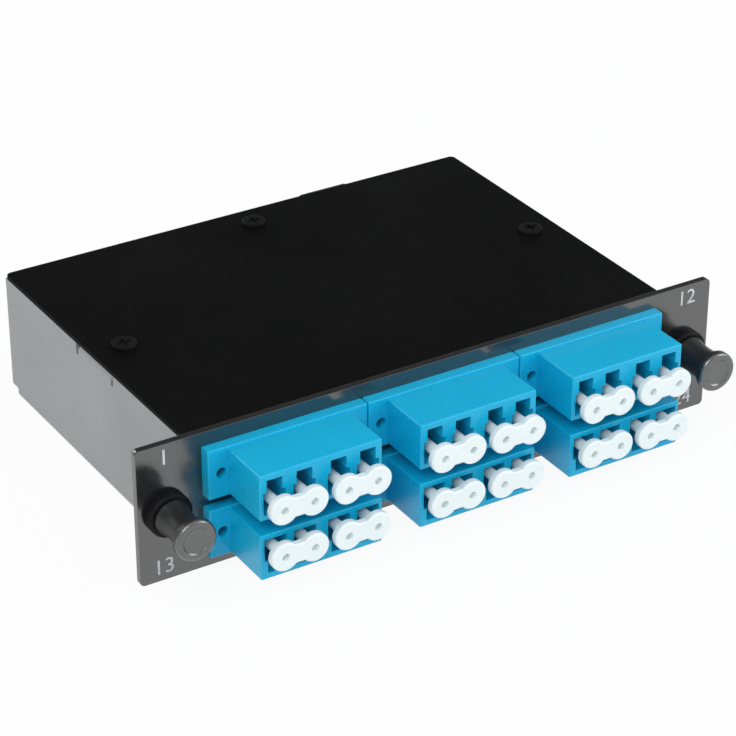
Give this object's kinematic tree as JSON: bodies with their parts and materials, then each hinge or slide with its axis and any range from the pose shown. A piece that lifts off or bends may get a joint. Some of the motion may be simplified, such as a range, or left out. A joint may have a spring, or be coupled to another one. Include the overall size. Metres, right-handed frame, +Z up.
{
  "type": "fibre patch panel cassette",
  "caption": "Flat plug-in cassette for a fibre patch panel: steel box with an eared front plate, push-pull latches and rows of capped duplex ports.",
  "frame": {"origin": "middle of the front plate's rear face, which seats on the frame it is fitted to", "axes": "+X to the right seen from the front, +Y from the plate into the depth of the box, +Z up"},
  "size_m": [0.13, 0.1103, 0.029],
  "materials": {
    "panel_paint": "black powder coat with a strong sheen",
    "chassis_paint": "mid grey powder coat",
    "cover_paint": "matte black powder coat",
    "black_screw": "black-coated screw steel",
    "adapter_plastic": "aqua-blue moulded plastic",
    "cap_plastic": "soft white moulded plastic",
    "clip_steel": "spring steel",
    "sleeve_ceramic": "white ceramic",
    "plug_plastic": "aqua moulded plastic",
    "latch_nylon": "black nylon",
    "knob_nylon": "black nylon, satin on the face",
    "socket_plastic": "black moulded plastic",
    "socket_screw": "zinc-plated steel",
    "rear_cap_plastic": "soft black plastic",
    "fan_plastic": "moulded black plastic",
    "fibre_buffer": "aqua fibre buffer"
  },
  "bodies": {
    "cassette": {"front_panel": "panel_paint", "chassis": "chassis_paint", "top_cover": "cover_paint", "cover_screws": "black_screw", "lc_adapter_1": "adapter_plastic", "lc_adapter_2": "adapter_plastic", "lc_adapter_3": "adapter_plastic", "lc_adapter_4": "adapter_plastic", "lc_adapter_5": "adapter_plastic", "lc_adapter_6": "adapter_plastic", "adapter_clip_1": "clip_steel", "adapter_clip_2": "clip_steel", "adapter_clip_3": "clip_steel", "adapter_clip_4": "clip_steel", "adapter_clip_5": "clip_steel", "adapter_clip_6": "clip_steel", "alignment_sleeves": "sleeve_ceramic", "lc_plugs_1": "plug_plastic", "lc_plugs_2": "plug_plastic", "lc_plugs_3": "plug_plastic", "lc_plugs_4": "plug_plastic", "lc_plugs_5": "plug_plastic", "lc_plugs_6": "plug_plastic", "latch_grommet_left": "latch_nylon", "latch_grommet_right": "latch_nylon", "mpo_adapter": "socket_plastic", "mpo_screws": "socket_screw", "mpo_plug": "socket_plastic", "fan_out": "fan_plastic", "fibres_upper": "fibre_buffer", "fibres_lower": "fibre_buffer"},
    "latch_plunger_left_body": {"latch_plunger_left": "knob_nylon"},
    "latch_plunger_right_body": {"latch_plunger_right": "knob_nylon"},
    "dust_cap_1_body": {"dust_cap_1": "cap_plastic"},
    "dust_cap_2_body": {"dust_cap_2": "cap_plastic"},
    "dust_cap_3_body": {"dust_cap_3": "cap_plastic"},
    "dust_cap_4_body": {"dust_cap_4": "cap_plastic"},
    "dust_cap_5_body": {"dust_cap_5": "cap_plastic"},
    "dust_cap_6_body": {"dust_cap_6": "cap_plastic"},
    "dust_cap_7_body": {"dust_cap_7": "cap_plastic"},
    "dust_cap_8_body": {"dust_cap_8": "cap_plastic"},
    "dust_cap_9_body": {"dust_cap_9": "cap_plastic"},
    "dust_cap_10_body": {"dust_cap_10": "cap_plastic"},
    "dust_cap_11_body": {"dust_cap_11": "cap_plastic"},
    "dust_cap_12_body": {"dust_cap_12": "cap_plastic"},
    "mpo_dust_cap_body": {"mpo_dust_cap": "rear_cap_plastic"}
  },
  "joints": [
    {"name": "latch_left_pull", "type": "slide", "parent": "cassette", "child": "latch_plunger_left_body", "axis": [0, -1, 0], "range_m": [0, 0.0045]},
    {"name": "latch_right_pull", "type": "slide", "parent": "cassette", "child": "latch_plunger_right_body", "axis": [0, -1, 0], "range_m": [0, 0.0045]},
    {"name": "dust_cap_1_pull", "type": "slide", "parent": "cassette", "child": "dust_cap_1_body", "axis": [0, -1, 0], "range_m": [0, 0.0135]},
    {"name": "dust_cap_2_pull", "type": "slide", "parent": "cassette", "child": "dust_cap_2_body", "axis": [0, -1, 0], "range_m": [0, 0.0135]},
    {"name": "dust_cap_3_pull", "type": "slide", "parent": "cassette", "child": "dust_cap_3_body", "axis": [0, -1, 0], "range_m": [0, 0.0135]},
    {"name": "dust_cap_4_pull", "type": "slide", "parent": "cassette", "child": "dust_cap_4_body", "axis": [0, -1, 0], "range_m": [0, 0.0135]},
    {"name": "dust_cap_5_pull", "type": "slide", "parent": "cassette", "child": "dust_cap_5_body", "axis": [0, -1, 0], "range_m": [0, 0.0135]},
    {"name": "dust_cap_6_pull", "type": "slide", "parent": "cassette", "child": "dust_cap_6_body", "axis": [0, -1, 0], "range_m": [0, 0.0135]},
    {"name": "dust_cap_7_pull", "type": "slide", "parent": "cassette", "child": "dust_cap_7_body", "axis": [0, -1, 0], "range_m": [0, 0.0135]},
    {"name": "dust_cap_8_pull", "type": "slide", "parent": "cassette", "child": "dust_cap_8_body", "axis": [0, -1, 0], "range_m": [0, 0.0135]},
    {"name": "dust_cap_9_pull", "type": "slide", "parent": "cassette", "child": "dust_cap_9_body", "axis": [0, -1, 0], "range_m": [0, 0.0135]},
    {"name": "dust_cap_10_pull", "type": "slide", "parent": "cassette", "child": "dust_cap_10_body", "axis": [0, -1, 0], "range_m": [0, 0.0135]},
    {"name": "dust_cap_11_pull", "type": "slide", "parent": "cassette", "child": "dust_cap_11_body", "axis": [0, -1, 0], "range_m": [0, 0.0135]},
    {"name": "dust_cap_12_pull", "type": "slide", "parent": "cassette", "child": "dust_cap_12_body", "axis": [0, -1, 0], "range_m": [0, 0.0135]},
    {"name": "mpo_dust_cap_pull", "type": "slide", "parent": "cassette", "child": "mpo_dust_cap_body", "axis": [0, 1, 0], "range_m": [0, 0.008]}
  ]
}
